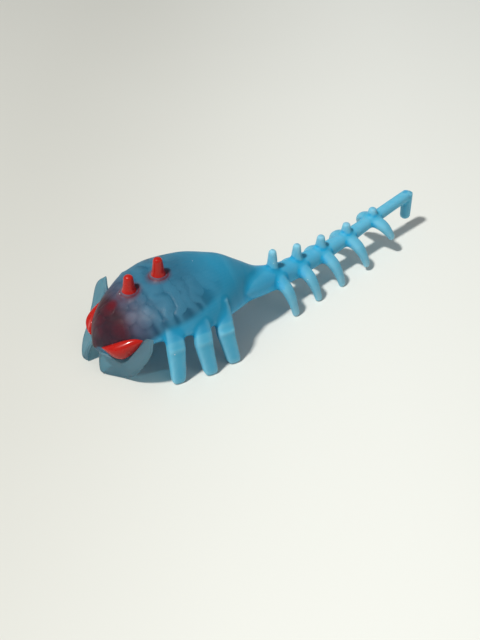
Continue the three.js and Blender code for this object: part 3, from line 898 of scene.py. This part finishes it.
def red_material():
    """Glossy red of the eyes and horns."""
    nodes = Nodes("red_gloss")
    colour = nodes.mix(nodes.noise(130.0, 3.0), *TONES["red gloss"])
    colour = nodes.mix(specks(nodes), colour, RED_SPECK)
    normal = nodes.bump(nodes.noise(900.0, 2.0), 0.1, 0.0001)
    skin = nodes.add("ShaderNodeBsdfPrincipled", {
        "Base Color": colour, "Roughness": nodes.ramp(nodes.noise(300.0), 0.3, 0.7, 0.16, 0.3),
        "Normal": normal, "IOR": 1.45, "Specular IOR Level": 0.4,
        "Subsurface Weight": 0.25, "Subsurface Scale": 0.001, "Subsurface Radius": (1.0, 0.2, 0.1),
    })
    nodes.tree.links.new(skin.outputs[0], nodes.output.inputs[0])
    return nodes.material


def core_material():
    """The red insert's core: bright red in front, dusky where the deep dome shades it."""
    nodes = Nodes("red_core")
    tone = nodes.noise(160.0, 3.0)
    bright = nodes.mix(tone, *TONES["core front"])
    dusk = nodes.mix(tone, *TONES["core rear"])
    skin = nodes.add("ShaderNodeBsdfPrincipled", {
        "Base Color": nodes.mix(nodes.across(CORE_FRONT_TO_REAR), bright, dusk),
        "Roughness": nodes.ramp(nodes.noise(240.0), 0.3, 0.7, 0.4, 0.6), "IOR": 1.3,
        "Normal": nodes.bump(nodes.noise(500.0, 3.0), 0.3, 0.0002),
    })
    nodes.tree.links.new(skin.outputs[0], nodes.output.inputs[0])
    return nodes.material


def floor_material():
    """Pale floor with a painted light falloff: a little duller on one side."""
    nodes = Nodes("floor")
    spot = nodes.add("ShaderNodeSeparateXYZ", {0: nodes.position()})
    along_x = nodes.math("MULTIPLY", spot.outputs[0], FLOOR_PAINTED_FALLOFF[0])
    along_y = nodes.math("MULTIPLY", spot.outputs[1], FLOOR_PAINTED_FALLOFF[1])
    wander = nodes.math("MULTIPLY", nodes.noise(9.0, 2.0), 0.02)
    shade = nodes.math("ADD", nodes.math("SUBTRACT", along_x, along_y), wander)
    colour = nodes.mix(nodes.ramp(shade, -0.11, 0.06), *TONES["floor"])
    skin = nodes.add("ShaderNodeBsdfPrincipled", {"Base Color": colour, "Roughness": 0.55})
    nodes.tree.links.new(skin.outputs[0], nodes.output.inputs[0])
    return nodes.material


def dress(obj, material):
    obj.data.materials.clear()
    obj.data.materials.append(material)


# ---------------------------------------------------------------- build

def is_leg(co, leg, side):
    """Whether a point is on this leg or just above its cut, in a space that follows the leg's axis."""
    hip, sole = LEGS[leg]
    down = max(0.0, 1 - co.z / MM / HIP_Z)
    x = hip[0] + (sole[0] - hip[0]) * down
    y = side * (hip[1] + (sole[1] - hip[1]) * down)
    at = place((x, y, 0))
    near = abs(co.x - at.x) < LEG_SPACE * MM and abs(co.y - at.y) < LEG_SPACE * MM
    return near and co.z < place((0, 0, LEG_CUT_Z)).z + LEG_SPACE_ABOVE * MM


def is_any_leg(co):
    return any(is_leg(co, leg, side) for leg in LEGS for side in SIDES.values())


def cut_legs_off(trunk, plane):
    """Takes the legs below the plane off the trunk and closes the holes."""
    bm = bmesh.new()
    bm.from_mesh(trunk.data)
    verts = {v for v in bm.verts if is_any_leg(v.co)}
    edges = [e for e in bm.edges if all(v in verts for v in e.verts)]
    faces = [f for f in bm.faces if all(v in verts for v in f.verts)]
    geom = list(verts) + edges + faces
    cut = bmesh.ops.bisect_plane(bm, geom=geom, plane_co=plane, plane_no=(0, 0, 1), dist=CUT_TOLERANCE)
    rim = [e for e in cut["geom_cut"] if isinstance(e, bmesh.types.BMEdge)]
    below = [v for v in bm.verts if v.co.z < plane.z - 1e-6 and is_any_leg(v.co)]
    bmesh.ops.delete(bm, geom=below, context="VERTS")
    close_ends(bm, [e for e in rim if e.is_valid])
    bmesh.ops.delete(bm, geom=[v for v in bm.verts if not v.link_faces], context="VERTS")
    bm.to_mesh(trunk.data)
    bm.free()


def build_core(core):
    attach(core, "trunk")
    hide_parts("red_core")
    dress(core, core_material())


def build_trunk(moulding, gel, leg_plane):
    end_x = place((TRUNK_SPACE_X, 0, 0)).x
    trunk = cut_piece(moulding, "trunk_skin", [tail_plane(CUTS[0], True)], near=lambda co: co.x < end_x)
    cut_legs_off(trunk, leg_plane)
    dress(trunk, gel)
    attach(trunk, "trunk")
    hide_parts("dome_skin", "belly_panel")


def build_leg(moulding, gel, leg_plane, leg, word):
    """Leg piece, cut off the moulding below the plane of its cut."""
    side = SIDES[word]
    piece = cut_piece(moulding, f"leg_paddle_{leg}_{word}", [(leg_plane, Vector((0, 0, 1)))],
                      near=lambda co: is_leg(co, leg, side))
    dress(piece, gel)
    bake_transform(piece)
    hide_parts(f"leg_{leg}_{word}")


def build_tail(moulding, gel):
    """Six tail pieces, cut from the moulding between the cuts."""
    for k, (start, end) in enumerate(BENDS):
        planes = [tail_plane(CUTS[k], False)]
        if k + 1 < len(CUTS):
            planes.append(tail_plane(CUTS[k + 1], True))
        front_x = place(tail_point(CUTS[k], 0, 0)).x - TAIL_SPACE * MM
        number = k + 1
        piece = cut_piece(moulding, f"tail_skin_{number}", planes, near=lambda co: co.x > front_x)
        dress(piece, gel)
        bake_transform(piece)
        if k < len(VERTEBRAE):
            ribs = [f"rib_{number}_{word}" for word in SIDES]
            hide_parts(f"tail_bar_{number}", f"spike_{number}", *ribs)
        else:
            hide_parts("tail_hook")


def build_flap(core_tree, thin_gel, word):
    """Cheek flap that hangs from the line of its hinge."""
    flap = flap_object(word)
    measure(flap, body_tree(flap), core_tree)
    dress(flap, thin_gel)
    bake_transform(flap)
    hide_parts(f"cheek_flap_{word}")


def build_red(obj, red, node):
    dress(obj, red)
    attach(obj, "trunk")
    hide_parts(node)


def build_object():
    gel = gel_material("blue_gel", False)
    thin_gel = gel_material("blue_gel_thin", True)
    red = red_material()
    core = core_object()
    moulding = blue_moulding()
    core_tree = body_tree(core)
    measure(moulding, body_tree(moulding), core_tree)
    build_core(core)

    leg_plane = place((0, 0, LEG_CUT_Z))
    build_trunk(moulding, gel, leg_plane)
    for word in SIDES:
        for leg in LEGS:
            build_leg(moulding, gel, leg_plane, leg, word)
    build_tail(moulding, gel)
    for word, side in SIDES.items():
        build_flap(core_tree, thin_gel, word)
        build_red(eye_object(side, word), red, f"eye_{word}")
    for index, node in enumerate(("horn_front", "horn_rear")):
        build_red(horn_object(index), red, node)
    bpy.data.objects.remove(moulding)


# ---------------------------------------------------------------- studio

FLOOR_HALF = 1.6  # metres


def build_stage():
    mesh = bpy.data.meshes.new("floor")
    corners = [(FLOOR_HALF * x, FLOOR_HALF * y, 0) for x, y in ((-1, -1), (1, -1), (1, 1), (-1, 1))]
    mesh.from_pydata(corners, [], [(0, 1, 2, 3)])
    floor = bpy.data.objects.new("floor", mesh)
    bpy.context.scene.collection.objects.link(floor)
    mesh.materials.append(floor_material())


CAMERA_AZIMUTH = math.radians(-29.8)
CAMERA_ELEVATION = math.radians(37.0)
CAMERA_DISTANCE = 344.0
CAMERA_TARGET = (0.0, -1.4, 0.0)
CAMERA_SENSOR, CAMERA_LENS = 36.0, 61.875


def build_camera():
    back = Vector((
        math.sin(CAMERA_AZIMUTH) * math.cos(CAMERA_ELEVATION),
        -math.cos(CAMERA_AZIMUTH) * math.cos(CAMERA_ELEVATION),
        math.sin(CAMERA_ELEVATION),
    ))
    right = Vector((math.cos(CAMERA_AZIMUTH), math.sin(CAMERA_AZIMUTH), 0))
    up = back.cross(right)
    data = bpy.data.cameras.new("camera")
    data.sensor_width = CAMERA_SENSOR
    data.lens = CAMERA_LENS
    data.clip_start = 0.01
    camera = bpy.data.objects.new("camera", data)
    turn = Matrix((right, up, back)).transposed().to_4x4()
    camera.matrix_world = Matrix.Translation(place(Vector(CAMERA_TARGET) + back * CAMERA_DISTANCE)) @ turn
    bpy.context.scene.collection.objects.link(camera)
    bpy.context.scene.camera = camera


def area_light(name, direction, distance, size, power, colour):
    """Round lamp that faces the object from a direction; distance and size are in metres."""
    data = bpy.data.lights.new(name, "AREA")
    data.shape = "DISK"
    data.size = size
    data.energy = power
    data.color = colour
    lamp = bpy.data.objects.new(name, data)
    direction = Vector(direction).normalized()
    lamp.location = direction * distance
    lamp.rotation_euler = direction.to_track_quat("Z", "Y").to_euler()
    bpy.context.scene.collection.objects.link(lamp)


def build_light():
    """A key light from behind the camera's left, a wide fill from its right, and a dim even sky."""
    right = Vector((math.cos(CAMERA_AZIMUTH), math.sin(CAMERA_AZIMUTH), 0))
    away = Vector((-math.sin(CAMERA_AZIMUTH), math.cos(CAMERA_AZIMUTH), 0))
    key = -0.44 * right - 0.38 * away + Vector((0, 0, 1))
    area_light("key", key, 1.4, 0.14, 19.0, (1.0, 0.985, 0.95))
    area_light("fill", 0.9 * right - 0.9 * away + Vector((0, 0, 0.9)), 1.6, 1.4, 2.2, (0.95, 0.98, 1.0))
    world = bpy.data.worlds.new("studio")
    world.use_nodes = True
    background = world.node_tree.nodes["Background"]
    background.inputs[0].default_value = (0.93, 0.97, 1.0, 1)
    background.inputs[1].default_value = 0.25
    bpy.context.scene.world = world
    bpy.context.scene.view_settings.view_transform = "Standard"


build_camera()
build_light()
build_stage()
build_object()
